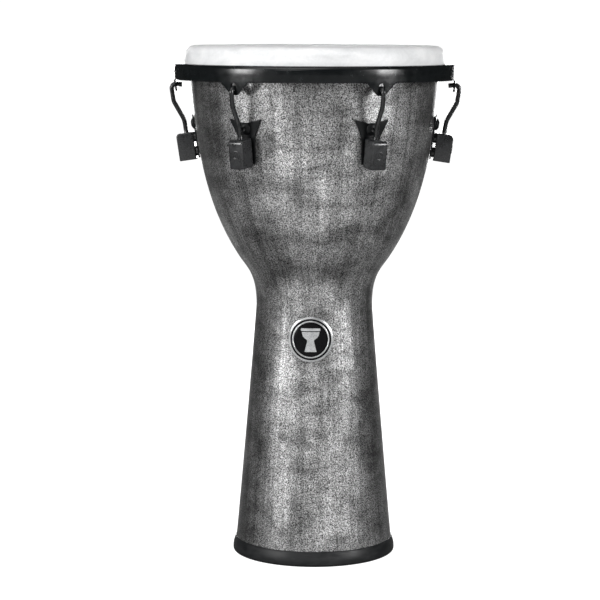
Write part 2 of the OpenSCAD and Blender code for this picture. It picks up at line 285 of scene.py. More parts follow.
def turned(name, outline, steps, radius=None):
    """A closed (radius, height) outline turned about Z; radius(index, r, angle) can shape a row."""
    turns = [2 * math.pi * k / steps for k in range(steps)]
    rows = []
    for index, (r, z) in enumerate(outline):
        row = []
        for a in turns:
            size = radius(index, r, a) if radius else r
            row.append((size * math.cos(a), size * math.sin(a), z))
        rows.append(row)
    return mesh_object(name, *grid(rows, True, True))


def hexagon_radius(flat_r, a):
    """Distance from a hexagon's centre to its side, in a direction."""
    return flat_r / math.cos((a + math.pi / 6) % (math.pi / 3) - math.pi / 6)


def modified(piece, *modifiers):
    """Adds modifiers given as (type, {settings}) and applies them all."""
    for kind, settings in modifiers:
        modifier = piece.modifiers.new(kind.title(), kind)
        for key, value in settings.items():
            setattr(modifier, key, value)
    bpy.context.view_layer.update()
    result = bpy.data.meshes.new_from_object(piece.evaluated_get(bpy.context.evaluated_depsgraph_get()))
    piece.modifiers.clear()
    piece.data = result
    return piece


def folded_sheet(piece, thickness, edge):
    """Gives an open sheet its thickness, inwards from its faces, and rounds its edges."""
    return modified(piece, ("SOLIDIFY", {"thickness": thickness * MM, "offset": -1}),
                    ("BEVEL", {"width": edge * MM, "segments": 3, "limit_method": "ANGLE",
                               "angle_limit": math.radians(50)}))


def cut(piece, *tools, operation="DIFFERENCE"):
    """Cuts tools out of a piece, or joins them to it, and removes the tools."""
    for tool in tools:
        modified(piece, ("BOOLEAN", {"operation": operation, "object": tool, "solver": "MANIFOLD"}))
        bpy.data.objects.remove(tool)
    return piece


def placed(piece, name, matrix):
    """A copy of a piece with its place in its mesh."""
    mesh = piece.data.copy()
    mesh.transform(matrix)
    return linked(name, mesh)


def lug_matrix(i):
    """Place of a lug's own frame on the drum; lugs count from 1 at +X."""
    turn = Matrix.Rotation(2 * math.pi * (i - 1) / LUGS, 4, "Z")
    return turn @ Matrix.Translation((LUG_R * MM, 0, LUG_Z * MM)) @ Matrix.Rotation(LUG_LEAN, 4, "Y")


def along_u(piece, w):
    """Turns a piece made along Z to lie along the lug frame's u, at a height on the rod."""
    piece.data.transform(Matrix.Translation((0, 0, w * MM)) @ Matrix.Rotation(math.pi / 2, 4, "Y"))
    return piece


# ---- materials ----

class Nodes:
    """Short words for building one material's node tree."""

    def __init__(self, name):
        self.material = bpy.data.materials.new(name)
        self.material.use_nodes = True
        self.tree = self.material.node_tree
        self.shader = self.tree.nodes["Principled BSDF"]

    def add(self, kind, **settings):
        node = self.tree.nodes.new(kind)
        for key, value in settings.items():
            setattr(node, key, value)
        return node

    def link(self, out, into):
        self.tree.links.new(out, into)

    def place(self):
        return self.add("ShaderNodeTexCoord").outputs["Object"]

    def math(self, operation, a, b=None, clamp=False):
        node = self.add("ShaderNodeMath", operation=operation, use_clamp=clamp)
        for socket, value in zip(node.inputs, (a, b)):
            if isinstance(value, (int, float)):
                socket.default_value = value
            elif value is not None:
                self.link(value, socket)
        return node.outputs[0]

    def stretch(self, where, scale):
        node = self.add("ShaderNodeVectorMath", operation="MULTIPLY")
        self.link(where, node.inputs[0])
        node.inputs[1].default_value = scale
        return node.outputs[0]

    def noise(self, where, scale, detail=2.0, rough=0.5, distort=0.0):
        node = self.add("ShaderNodeTexNoise")
        self.link(where, node.inputs["Vector"])
        node.inputs["Scale"].default_value = scale
        node.inputs["Detail"].default_value = detail
        node.inputs["Roughness"].default_value = rough
        node.inputs["Distortion"].default_value = distort
        return node.outputs["Fac"]

    def ramp(self, factor, *stops):
        """A colour ramp; each stop is (position, grey) or (position, (r, g, b))."""
        node = self.add("ShaderNodeValToRGB")
        self.link(factor, node.inputs["Fac"])
        elements = node.color_ramp.elements
        while len(elements) < len(stops):
            elements.new(0.5)
        for element, (position, colour) in zip(elements, stops):
            element.position = position
            rgb = colour if isinstance(colour, tuple) else (colour,) * 3
            element.color = (*rgb, 1)
        return node.outputs["Color"]

    def mix(self, factor, a, b, blend="MIX"):
        node = self.add("ShaderNodeMix", data_type="RGBA", blend_type=blend)
        for socket, value in ((node.inputs[0], factor), (node.inputs[6], a), (node.inputs[7], b)):
            if isinstance(value, (int, float)):
                socket.default_value = value
            elif isinstance(value, tuple):
                socket.default_value = (*value, 1)
            else:
                self.link(value, socket)
        return node.outputs[2]

    def bump(self, height, strength, distance_mm, onto=None):
        node = self.add("ShaderNodeBump")
        node.inputs["Strength"].default_value = strength
        node.inputs["Distance"].default_value = distance_mm * MM
        self.link(height, node.inputs["Height"])
        if onto:
            self.link(onto, node.inputs["Normal"])
        return node.outputs["Normal"]

    def done(self, colour=None, roughness=None, normal=None, metallic=None, **fixed):
        """Sets the shader: sockets for what varies, plain values for what doesn't."""
        for socket, value in (("Base Color", colour), ("Roughness", roughness),
                              ("Normal", normal), ("Metallic", metallic)):
            if isinstance(value, (int, float)):
                self.shader.inputs[socket].default_value = value
            elif isinstance(value, tuple):
                self.shader.inputs[socket].default_value = (*value, 1)
            elif value is not None:
                self.link(value, self.shader.inputs[socket])
        for key, value in fixed.items():
            self.shader.inputs[key.replace("_", " ").title().replace("Ior", "IOR")].default_value = value
        return self.material


def wrapped_noise(n, around, up, detail, rough=0.55, distort=0.0):
    """Noise on the unrolled wall: features per radian around and per metre up."""
    apart = n.add("ShaderNodeSeparateXYZ")
    n.link(n.place(), apart.inputs[0])
    turn = n.math("ARCTAN2", apart.outputs["Y"], apart.outputs["X"])
    flat = n.add("ShaderNodeCombineXYZ")
    n.link(n.math("MULTIPLY", turn, around), flat.inputs[0])
    n.link(n.math("MULTIPLY", apart.outputs["Z"], up), flat.inputs[1])
    return n.noise(flat.outputs[0], 1.0, detail, rough, distort)


def shell_painted_shade_by_height(n):
    """Painted shade by height: the bowl left paler, the stem and a band close under the rim painted darker.
    """
    apart = n.add("ShaderNodeSeparateXYZ")
    n.link(n.place(), apart.inputs[0])
    share = n.math("MULTIPLY", apart.outputs["Z"], 1.6)
    return n.ramp(share, (0.06, 0.66), (0.3, 0.72), (0.43, 0.68), (0.53, 0.84), (0.62, 1.0),
                  (0.82, 1.0), (0.94, 0.78))


def shell_material():
    """Silver and black woven fibre under satin lacquer: fine grain, long slubs and soft bands, with painted
    shade by height on the stem and under the rim.
    """
    n = Nodes("shell_fibre")
    where = n.place()
    grain = n.noise(where, 760, 2, 0.7)
    yarns = n.math("MAXIMUM", wrapped_noise(n, 110, 160, 2), wrapped_noise(n, 60, 620, 2))
    speck = n.math("ADD", n.math("MULTIPLY", grain, 0.72), n.math("MULTIPLY", yarns, 0.3))
    long_streaks = n.ramp(wrapped_noise(n, 7, 3.5, 3, 0.6, 0.3), (0.34, 0.62), (0.62, 1.0))
    slubs = n.ramp(wrapped_noise(n, 26, 9, 3), (0.32, 0.68), (0.6, 1.0))
    bands = n.ramp(wrapped_noise(n, 2.2, 36, 3, 0.6, 0.2), (0.36, 0.5), (0.56, 1.0))
    clouds = n.ramp(n.noise(n.stretch(where, (1, 1, 0.6)), 15, 3, 0.55), (0.34, 0.6), (0.6, 1.0))
    colour = n.ramp(speck, (0.43, 0.05), (0.52, 0.42), (0.62, 1.0))
    # The last layer is painted shade by height, darkening the stem and the band under the rim; the others are
    # tones of the fibre.
    for tone_and_shade in (long_streaks, slubs, bands, clouds, shell_painted_shade_by_height(n)):
        colour = n.mix(1.0, colour, tone_and_shade, "MULTIPLY")
    roughness = n.ramp(grain, (0.3, 0.33), (0.7, 0.43))
    return n.done(colour, roughness, n.bump(speck, 0.2, 0.2), 0.93, coat_weight=0.1,
                  coat_roughness=0.3, specular_ior_level=0.2)


def film_material():
    """White synthetic skin with faint grey mottling."""
    n = Nodes("head_skin")
    where = n.place()
    patches = n.noise(n.stretch(where, (1, 1, 1.6)), 28, 4, 0.62, 0.6)
    fibres = n.noise(where, 420, 3, 0.6)
    soft = n.ramp(patches, (0.34, (0.45, 0.455, 0.46)), (0.5, (0.51, 0.515, 0.52)),
                  (0.68, (0.57, 0.57, 0.57)))
    fine = n.ramp(fibres, (0.3, 0.93), (0.7, 1.0))
    return n.done(n.mix(1.0, soft, fine, "MULTIPLY"), n.ramp(patches, (0.3, 0.42), (0.7, 0.58)),
                  n.bump(fibres, 0.15, 0.15), 0.0)


def powder_material(name, base, rough, speckle=0.2, gloss=0.3, mottle=0.3):
    """Black powder coat: orange-peel surface, fine mottling and lighter dust in places."""
    n = Nodes(name)
    where = n.place()
    peel = n.noise(where, 900, 2, 0.5)
    dust = n.noise(where, 90, 4, 0.6, 0.3)
    fine = n.ramp(peel, (0.36, 1 - mottle), (0.64, 1.0))
    shaded, dusty = (tuple(c * share for c in base) for share in (0.75, 1.9))
    coat = n.ramp(dust, (0.35, shaded), (0.62, base), (0.8, dusty))
    roughness = n.ramp(dust, (0.3, rough - 0.05), (0.75, rough + 0.1))
    return n.done(n.mix(1.0, coat, fine, "MULTIPLY"), roughness, n.bump(peel, speckle, 0.12), 0.0,
                  specular_ior_level=gloss)


def rubber_material():
    """Moulded black rubber with fine pores and faint scuffs round the foot."""
    n = Nodes("foot_rubber_skin")
    where = n.place()
    pores = n.noise(where, 700, 3, 0.6)
    scuffs = n.noise(n.stretch(where, (1, 1, 3)), 60, 4, 0.65, 0.5)
    colour = n.ramp(scuffs, (0.4, (0.006, 0.0065, 0.007)), (0.62, (0.011, 0.0115, 0.012)),
                    (0.82, (0.018, 0.0185, 0.0195)))
    return n.done(colour, n.ramp(scuffs, (0.35, 0.36), (0.75, 0.56)), n.bump(pores, 0.2, 0.15), 0.0,
                  specular_ior_level=0.15)


def plated_material():
    """Zinc plated steel with faint turning lines and a mottled bluish tint."""
    n = Nodes("zinc_plate")
    where = n.place()
    lines = n.noise(n.stretch(where, (1, 1, 9)), 500, 2, 0.5)
    tint = n.noise(where, 120, 3, 0.6)
    colour = n.ramp(tint, (0.35, (0.50, 0.51, 0.53)), (0.65, (0.68, 0.69, 0.70)))
    return n.done(colour, n.ramp(tint, (0.3, 0.26), (0.7, 0.4)), n.bump(lines, 0.15, 0.05), 1.0)


def anodised_material():
    """Dark anodised metal with fine turning lines."""
    n = Nodes("dark_anodised")
    where = n.place()
    lines = n.noise(n.stretch(where, (0.4, 0.4, 12)), 300, 2, 0.5)
    colour = n.ramp(lines, (0.3, (0.06, 0.06, 0.063)), (0.7, (0.12, 0.12, 0.125)))
    return n.done(colour, n.ramp(lines, (0.3, 0.3), (0.7, 0.42)), n.bump(lines, 0.1, 0.04), 0.9)


def badge_metal_material():
    """Satin silver with fine straight brushing, and near-black colour in the ring's groove."""
    n = Nodes("badge_silver")
    where = n.place()
    brushed = n.noise(n.stretch(where, (0.15, 1, 1)), 2600, 2, 0.5)
    cloud = n.noise(where, 200, 2, 0.5)
    silver = n.ramp(cloud, (0.35, (0.36, 0.365, 0.37)), (0.65, (0.44, 0.445, 0.45)))
    off_centre = n.add("ShaderNodeVectorMath", operation="SUBTRACT")
    n.link(n.stretch(where, (1, 0, 1)), off_centre.inputs[0])
    off_centre.inputs[1].default_value = (0, 0, BADGE_Z * MM)
    reach = n.add("ShaderNodeVectorMath", operation="LENGTH")
    n.link(off_centre.outputs[0], reach.inputs[0])
    # The groove is coloured near black, picked by its distance from the badge's centre.
    in_groove = n.math("COMPARE", reach.outputs["Value"], (GROOVE_R + GROOVE_OUT_R) / 2 * MM)
    in_groove.node.inputs[2].default_value = (GROOVE_OUT_R - GROOVE_R) / 2 * MM
    colour = n.mix(in_groove, silver, (0.01, 0.01, 0.011))
    return n.done(colour, n.ramp(brushed, (0.3, 0.24), (0.7, 0.38)), n.bump(brushed, 0.12, 0.03), 0.9)


def enamel_material():
    """Black enamel with a few dim flecks."""
    n = Nodes("badge_black")
    where = n.place()
    flecks = n.noise(where, 900, 2, 0.5)
    colour = n.ramp(flecks, (0.4, (0.0015, 0.0015, 0.0017)), (0.75, (0.004, 0.004, 0.0045)))
    return n.done(colour, n.ramp(flecks, (0.3, 0.16), (0.7, 0.26)), n.bump(flecks, 0.05, 0.03), 0.0,
                  specular_ior_level=0.07)


def floor_material():
    """Matt grey floor that glows white for the camera only, so shadows on it stay faint."""
    n = Nodes("studio_paper")
    fibres = n.noise(n.place(), 60, 3, 0.5)
    seen = n.add("ShaderNodeLightPath").outputs["Is Camera Ray"]
    n.shader.inputs["Emission Color"].default_value = (1, 1, 1, 1)
    n.link(n.math("MULTIPLY", seen, 1.03), n.shader.inputs["Emission Strength"])
    return n.done(n.ramp(fibres, (0.3, 0.12), (0.7, 0.15)), 0.8, None, 0.0)


# ---- pieces that stand for CAD nodes ----

def finished(piece, material, body, slot, *nodes):
    """Gives a piece its material and its body, and hides the CAD nodes it stands for; slot is not used."""
    piece.data.materials.clear()
    piece.data.materials.append(material)
    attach(piece, body)
    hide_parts(*nodes)
    return piece


def shell_piece(material):
    """Goblet shaped wall of even thickness with a rounded crown, open at both ends."""
    crown = arc((CROWN_R - CROWN_ROUND, CROWN_Z), CROWN_ROUND, 0, 90, 8)
    outline = ([(FOOT_R, SHELL_BOTTOM)] + shell_side(0) + crown[1:]
               + [(CROWN_R - SHELL_WALL, CROWN_Z + CROWN_ROUND)] + shell_side(-SHELL_WALL)[::-1]
               + [(cone_radius(SHELL_BOTTOM, SHELL_WALL), SHELL_BOTTOM)])
    piece = smooth(turned("shell_skin", outline, 192))
    return finished(piece, material, "drum", "shell", "shell")


def foot_ring_piece(material):
    """Rubber ring round and under the shell's lower edge, with a swelled side and a soft lip."""
    widest = FOOT_R + 2.3
    lip_z, seat_z = 18.3, 16.3
    swell = [(widest, 4.6), (widest, 9), (widest - 1.4, 13), (cone_radius(18.5) + 0.85, 17.3)]
    sole_inner, sole_outer = arc((90.5, 0.5), 0.5, 180, 270, 3), arc((widest - 3, 3), 3, -90, 0, 8)
    lip = arc((cone_radius(18.5) + 0.35, 17.9), 0.5, -10, 90, 4)
    seat = [(cone_radius(18.2), lip_z), (FOOT_R, SHELL_BOTTOM),
            (cone_radius(SHELL_BOTTOM, SHELL_WALL), SHELL_BOTTOM), (cone_radius(seat_z, SHELL_WALL), seat_z)]
    inside = arc((88.8, 15.7), 0.8, 90, 180, 4) + [(88, 2)]
    outline = sole_inner + sole_outer + beside(swell, 10, 0) + lip + seat + inside
    piece = smooth(turned("foot_ring_rubber", outline, 160))
    return finished(piece, material, "drum", "foot_rubber", "foot_ring")


def head_film_piece(material):
    """Flat head, rounded shoulder and straight collar, which stretches as the hoop pulls it down."""
    shoulder, shoulder_r = FILM_SHOULDER, FILM_SHOULDER_R
    collar_top = DRUM_H - 20.8
    flat = [(shoulder[0] * math.sqrt(k / 14), DRUM_H) for k in range(14)]
    side = [(COLLAR_R - FILM_LEAN * (1 - k / 5) ** 1.6, shoulder[1] + (collar_top - shoulder[1]) * k / 5)
            for k in range(1, 5)]
    down = [(COLLAR_R, collar_top + (FILM_END - collar_top) * k / 6) for k in range(7)]
    outer = flat + arc(shoulder, shoulder_r, 90, 0, 14) + side + down
    inner = [(max(r - FILM_T, 0), z) for r, z in side + down]
    outline = (outer + inner[::-1] + arc(shoulder, shoulder_r - FILM_T, 0, 90, 14)
               + [(r, FILM_UNDER) for r, z in flat[::-1]])
    piece = smooth(turned("head_skin", outline, 192))
    piece.data.materials.append(material)
    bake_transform(piece)
    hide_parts("head_film")


def flesh_hoop_piece(material):
    """Metal hoop with a groove from above that the film's collar sits in."""
    slack = 0.45
    groove_in, groove_out = COLLAR_R - FILM_T - slack, COLLAR_R + slack
    groove_floor = HOOP_BOTTOM + 1.5
    corners = [(HOOP_IN, HOOP_BOTTOM), (HOOP_OUT, HOOP_BOTTOM), (HOOP_OUT, HOOP_TOP), (groove_out, HOOP_TOP),
               (groove_out, groove_floor), (groove_in, groove_floor), (groove_in, HOOP_TOP),
               (HOOP_IN, HOOP_TOP)]
    outline = rounded(corners, [1, 1, 0.3, 0.2, 0.2, 0.2, 0.2, 0.3], 3)
    piece = smooth(turned("flesh_hoop_ring", outline, 160))
    return finished(piece, material, "rim", "hoop_metal", "flesh_hoop")


def ear_edge():
    """Lower edge across one ear, as (distance along the rim, height), with fillets and corners."""
    fillet_s = (EAR_HALF_W + (RIM_BOTTOM - EAR_BOTTOM)
                - (EAR_CORNER_R + EAR_FILLET_R) * (1 - math.sqrt(2)))
    fillet = arc((fillet_s, RIM_BOTTOM - EAR_FILLET_R), EAR_FILLET_R, 90, 135, 5)
    corner = arc((EAR_HALF_W, EAR_BOTTOM + EAR_CORNER_R), EAR_CORNER_R, -45, -90, 4)
    slope = [tuple(Vector(fillet[-1]).lerp(Vector(corner[0]), k / 6)) for k in range(1, 6)]
    half = [(fillet_s + 4, RIM_BOTTOM)] + fillet + slope + corner + [(1.2, EAR_BOTTOM)]
    return [(-s, z) for s, z in half] + half[::-1]


def rim_columns():
    """Columns of the rim's sheet round the drum, as (angle, height of the lower edge)."""
    ear, gap_columns = ear_edge(), 28
    sector = 2 * math.pi / LUGS
    start = ear[-1][0] / RIM_R
    step = (sector - 2 * start) / gap_columns
    columns = []
    for i in range(LUGS):
        columns += [(i * sector + s / RIM_R, z) for s, z in ear]
        columns += [(i * sector + start + step * k, RIM_BOTTOM) for k in range(1, gap_columns)]
    return columns


def rim_face_radius(z):
    """Outer radius of the sheet, which leans in below its waist and more so in the ears."""
    if z >= RIM_BOTTOM:
        return RIM_R - RIM_LEAN * min(1, (RIM_WAIST - z) / (RIM_WAIST - RIM_BOTTOM))
    return RIM_R - RIM_LEAN - EAR_LEAN * (RIM_BOTTOM - z) / (RIM_BOTTOM - EAR_BOTTOM)


def rim_piece(material):
    """Pressed counterhoop: flange, shoulder, band and six slotted ears, as one folded sheet."""
    columns = rim_columns()
    shoulder_r, lip_r, skirt_rows = 5.0, COLLAR_R + 0.85, 9
    section = ([(lip_r, RIM_TOP), (lip_r + 3.5, RIM_TOP)]
               + arc((RIM_R - shoulder_r, RIM_TOP - shoulder_r), shoulder_r, 90, 0, 9) + [(RIM_R, RIM_WAIST)])
    rows = [[(r * math.cos(a), r * math.sin(a), z) for a, low in columns] for r, z in section]
    for k in range(1, skirt_rows + 1):
        row = []
        for a, low in columns:
            z = RIM_WAIST + (low - RIM_WAIST) * k / skirt_rows
            r = rim_face_radius(z)
            row.append((r * math.cos(a), r * math.sin(a), z))
        rows.append(row)
    piece = mesh_object("counterhoop", *grid(rows, False, True))
    face_sheet(piece, lambda place: Vector((place.x, place.y, 0)))
    folded_sheet(piece, RIM_T, 0.6)
    cut(piece, *[slot_tool(2 * math.pi * i / LUGS) for i in range(LUGS)])
    return finished(smooth(piece, 40), material, "rim", "black_metal", "rim")


def slot_tool(turn):
    """A bar with round ends that cuts one ear's slot."""
    face = (arc((0, SLOT_HIGH - SLOT_R), SLOT_R, 0, 180, 14)
            + arc((0, SLOT_LOW + SLOT_R), SLOT_R, 180, 360, 14))
    rows = [[(x * math.cos(turn) - y * math.sin(turn), x * math.sin(turn) + y * math.cos(turn), z)
             for y, z in face] for x in (160, 180)]
    points, faces = grid(rows, False, True)
    count = len(face)
    ends = [tuple(range(count)), tuple(range(2 * count - 1, count - 1, -1))]
    return mesh_object("slot", points, faces + ends)


def ahead(heading):
    """Unit vector along the rod in the lug frame's (u, w) plane; a heading of 0 is up the rod."""
    return Vector((math.sin(heading), math.cos(heading)))


def aside(heading):
    """Unit vector to the right of a heading."""
    return Vector((math.cos(heading), -math.sin(heading)))


def hook_centreline():
    """Points and headings of the bent rod above the box, in the lug frame's (u, w) plane."""
    place, heading = Vector((0, 0)), 0.0
    line = []
    for size, degrees in HOOK_PATH:
        if degrees == 0:
            line += [(place + ahead(heading) * size * k / 2, heading) for k in (0, 1)]
            place = place + ahead(heading) * size
            continue
        turn = math.radians(degrees)
        side = math.copysign(size, turn)
        centre = place + aside(heading) * side
        steps = max(4, round(abs(degrees) / 6))
        for k in range(steps):
            a = heading + turn * k / steps
            line.append((centre - aside(a) * side, a))
        heading += turn
        place = centre - aside(heading) * side
    line.append((place, heading))
    return line


def rod_ring(centre, heading, radius):
    """A ring of points round the rod; radius is a number, or a function of the angle round it."""
    sides = 24
    across = aside(heading)
    row = []
    for k in range(sides):
        a = 2 * math.pi * k / sides
        r = radius(a) if callable(radius) else radius
        out = r * math.cos(a)
        row.append((centre.x + across.x * out, r * math.sin(a), centre.y + across.y * out))
    return row


def thread_radius(w):
    """Radius of the rolled thread round the rod at a height; it fades out at both ends."""
    depth, end_chamfer = 0.54 * THREAD_PITCH, 0.35
    from_tip = w - ROD_END
    fade = max(0, min(1, from_tip / 1.5, THREAD_END - w))
    inset = end_chamfer * (1 - min(1, from_tip / 0.8))

    def radius(a):
        phase = (w / THREAD_PITCH - a / (2 * math.pi)) % 1
        ridge = abs(2 * phase - 1)
        return THREAD_R - depth * (1 - ridge) * fade - inset

    return radius


def hook_master():
    """One tuning hook: rolled thread, bent rod and a chamfered tip."""
    closed, chamfer, samples = 0.001, 0.6, 8
    steps = round((THREAD_END - ROD_END) / THREAD_PITCH * samples)
    heights = [ROD_END + (THREAD_END - ROD_END) * k / steps for k in range(steps + 1)]
    rows = [rod_ring(Vector((0, ROD_END)), 0, closed)]
    rows += [rod_ring(Vector((0, w)), 0, thread_radius(w)) for w in heights]
    line = [(Vector((0, THREAD_END + 0.5)), 0.0)] + hook_centreline()[1:]
    rows += [rod_ring(place, heading, ROD_R) for place, heading in line[:-1]]
    tip, heading = line[-1]
    for back, r in ((chamfer, ROD_R), (0.18, ROD_R - 0.18), (0, ROD_R - chamfer), (0, closed)):
        rows.append(rod_ring(tip - ahead(heading) * back, heading, r))
    piece = mesh_object("hook_master", *grid(rows, False, True))
    joined_up(piece.data, 3e-6)
    return smooth(piece, 45)


def nut_master():
    """Flanged hexagon tuning nut with chamfered corners."""
    low, high = NUT_TOP - NUT_H, NUT_TOP
    flange = high - 1.5
    flat_r, flange_r = 5.0, 6.1
    bore = THREAD_R + 0.05
    outline = [(bore + 0.4, low), (4.6, low), (flat_r, low + 0.45), (flat_r, flange - 0.1), (5.6, flange),
               (flange_r, flange + 0.4), (flange_r, high - 0.2), (5.9, high), (bore + 0.4, high),
               (bore, high - 0.4), (bore, low + 0.4)]
    hexagonal = {2, 3}
    chamfer = 5.55

    def radius(index, r, a):
        return min(hexagon_radius(r, a), chamfer) if index in hexagonal else r

    return smooth(turned("nut_master", outline, 72, radius), 28)


def bolt_master():
    """Domed bolt with a hexagon socket, made along Z and laid along u."""
    head_r, head_t, edge, shank_r, shank_end = 7.25, 4.3, 1.2, 3.0, -28.0
    socket, deep = 2.0, 2.2
    rise = head_t - edge
    dome_r = (head_r ** 2 + rise ** 2) / (2 * rise)
    base, top = PLATE_OUT, PLATE_OUT + head_t
    dome = arc((0, top - dome_r), dome_r, math.degrees(math.acos((head_r - 0.15) / dome_r)), 71, 9)
    socket_z = dome[-1][1]
    well = [(0, top - deep - 0.8), (socket, top - deep), (socket, socket_z - 0.35), (socket + 0.3, socket_z)]
    under = [(head_r, base + edge - 0.2), (head_r, base + 0.25), (head_r - 0.25, base)]
    shank = [(shank_r, base), (shank_r, shank_end), (shank_r - 0.5, shank_end - 0.5), (0, shank_end - 0.5)]
    hexagonal = {1, 2, 3}

    def radius(index, r, a):
        return hexagon_radius(r, a) if index in hexagonal else r

    bolt = turned("bolt_master", well + dome[::-1] + under + shank, 72, radius)
    return along_u(smooth(bolt, 28), BOLT_W)


def bevel_edges(bm, width, segments, wanted):
    """Rounds the edges that wanted(edge, middle in millimetres) picks."""
    picked = [e for e in bm.edges if wanted(e, (e.verts[0].co + e.verts[1].co) / 2 / MM)]
    bmesh.ops.bevel(bm, geom=picked, offset=width * MM, segments=segments, profile=0.5, affect="EDGES")


def box_casting():
    """The lug box's walls: a block with rounded edges, hollowed from below."""
    bm = bmesh.new()
    bmesh.ops.create_cube(bm, size=1)
    for v in bm.verts:
        v.co.x = (BOX_FRONT if v.co.x > 0 else BOX_BACK) * MM
        v.co.y *= BOX_W * MM
        v.co.z = (0 if v.co.z > 0 else -BOX_H) * MM
    bevel_edges(bm, BOX_ROUND, 8, lambda e, m: m.z > -0.1 and m.x > BOX_FRONT - 0.1)
    bevel_edges(bm, 1.5, 4, lambda e, m: m.z > -BOX_H + 0.1 and e.calc_face_angle(0) > math.radians(40))
    bm.normal_update()
    floor = max((f for f in bm.faces if f.normal.z < -0.9), key=lambda f: f.calc_area())
    bmesh.ops.inset_region(bm, faces=[floor], thickness=BOX_WALL * MM)
    cavity = bmesh.ops.extrude_face_region(bm, geom=[floor])
    roof = [v for v in cavity["geom"] if isinstance(v, bmesh.types.BMVert)]
    bmesh.ops.translate(bm, verts=roof, vec=(0, 0, (BOX_H - BOX_TOP_T) * MM))
    bmesh.ops.delete(bm, geom=[floor], context="FACES")
    face_out(bm)
    bm.normal_update()
    centre = Vector(((BOX_FRONT + BOX_BACK) / 2 * MM, 0, 0))

    def lower_outer(edge, middle):
        """True on the outer edge of the open mouth."""
        walls = [f for f in edge.link_faces if abs(f.normal.z) < 0.5]
        faces_out = any(f.normal.dot(edge.verts[0].co - centre) > MM for f in walls)
        return middle.z < -BOX_H + 0.01 and faces_out

    bevel_edges(bm, 0.9, 3, lower_outer)
    return from_bmesh("box_master", bm)


def box_master():
    """Cast lug box, open below, with two bosses and a plain raised ring and dot on its face."""
    piece = box_casting()
    sunk, relief, ring_w = BOX_FRONT - 0.3, BOX_FRONT + 0.45, -17.0
    ring_in, ring_out, dot_r = 3.9, 5.2, 1.6
    ring = [(ring_in, sunk), (ring_out, sunk), (ring_out, relief), (ring_in, relief)]
    dot = [(0, sunk), (dot_r, sunk), (dot_r, relief - 0.25), (dot_r - 0.3, relief), (0, relief)]
    added = [along_u(turned("tool", rounded(ring, 0.25, 2), 40), ring_w)]
    added.append(along_u(turned("tool", dot, 28), ring_w))
    rod_hole = [(0, -8), (ROD_HOLE_R, -8), (ROD_HOLE_R, -0.6), (ROD_HOLE_R + 0.8, 0.5), (0, 0.5)]
    boss = [(0, PLATE_OUT), (BOSS_R - 0.4, PLATE_OUT), (BOSS_R, PLATE_OUT + 0.4), (BOSS_R, BOX_BACK + 1),
            (0, BOX_BACK + 1)]
    hole_low, hole_high = PLATE_OUT - 1, BOX_BACK + 3
    hole = [(0, hole_low), (SCREW_HOLE_R, hole_low), (SCREW_HOLE_R, hole_high), (0, hole_high)]
    added += [along_u(turned("tool", boss, 40), w) for w in BOSS_W]
    taken = [turned("tool", rod_hole, 32)] + [along_u(turned("tool", hole, 28), w) for w in BOSS_W]
    cut(piece, *added, operation="UNION")
    cut(piece, *taken)
    return smooth(piece, 32)


def plate_top_edge(v):
    """Height of the plate's upper edge, which dips between the horns."""
    flat, horn, dip = 4.0, PLATE_HORN - 9, PLATE_TOP - 4
    if abs(v) <= flat:
        return dip
    if abs(v) <= horn:
        share = (abs(v) - flat) / (horn - flat)
        return dip + 2.2 * share * share * (3 - 2 * share)
    return PLATE_TOP - 1.8 + 1.8 * (abs(v) - horn) / (PLATE_HORN - 2.2 - horn)


def plate_half_width(w):
    """Half width of the plate at a height; it is narrow below and spreads into the horns."""
    beside_box = BOX_W / 2 + 2.6
    if w <= 0:
        return PLATE_LOW + (beside_box - PLATE_LOW) * (w - PLATE_BOTTOM) / -PLATE_BOTTOM
    return min(beside_box + (PLATE_HORN - beside_box) * w / (PLATE_TOP - 1.5), PLATE_HORN)


def plate_master():
    """Sheet steel shield with two horns, bent to follow the shell."""
    across, up = 24, 28
    rows = []
    for i in range(up + 1):
        share = i / up
        half_width = plate_half_width(PLATE_BOTTOM + (PLATE_TOP - 1.2 - PLATE_BOTTOM) * share)
        row = []
        for k in range(across + 1):
            t = 2 * k / across - 1
            top = plate_top_edge(t * (PLATE_HORN - 0.8))
            row.append((t * half_width, PLATE_BOTTOM + (top - PLATE_BOTTOM) * share))
        rows.append(row)
    for row, pull in ((rows[0], 0.35), (rows[-1], -0.35)):
        for corner in (0, -1):
            v, w = row[corner]
            row[corner] = (v * 0.965, w + pull)
    r = PLATE_BEND_R
    bent = [[(PLATE_OUT - r * (1 - math.cos(v / r)), r * math.sin(v / r), w) for v, w in row] for row in rows]
    piece = mesh_object("plate_master", *grid(bent, False, False))
    face_sheet(piece, lambda place: Vector((1, 0, 0)))
    return smooth(folded_sheet(piece, PLATE_T, 0.4), 40)


def lug_pieces(materials):
    """Every lug's own pieces, copied from one master of each kind."""
    kinds = [
        (box_master(), "lug_box_{}_cast", "lug_box_{}", "drum", "lug_box_metal", "box"),
        (plate_master(), "lug_plate_{}_sheet", "lug_plate_{}", "drum", "black_metal", "plate"),
        (hook_master(), "tuning_hook_{}_rod", "tuning_hook_{}", "hook_{}", "hook_metal", "hook"),
        (nut_master(), "tuning_nut_{}_hex", "tuning_nut_{}", "nut_{}", "plated_steel", "plated"),
    ]
    bolt = bolt_master()
    for master, name, node, body, slot, material in kinds:
        for i in range(1, LUGS + 1):
            piece = placed(master, name.format(i), lug_matrix(i))
            finished(piece, materials[material], body.format(i), slot, node.format(i))
        bpy.data.objects.remove(master)
    for i in range(1, LUGS + 1):
        piece = placed(bolt, f"lug_bolt_{i}_dome", lug_matrix(i))
        finished(piece, materials["plate"], "drum", "black_metal", "lug_bolts")
    bpy.data.objects.remove(bolt)


# ---- badge ----

def on_neck(x, z, height):
    """A point above the neck's front face, from its place in the badge's own plane."""
    r = shell_radius(BADGE_Z + z) + height
    return (x, -math.sqrt(r * r - x * x), BADGE_Z + z)


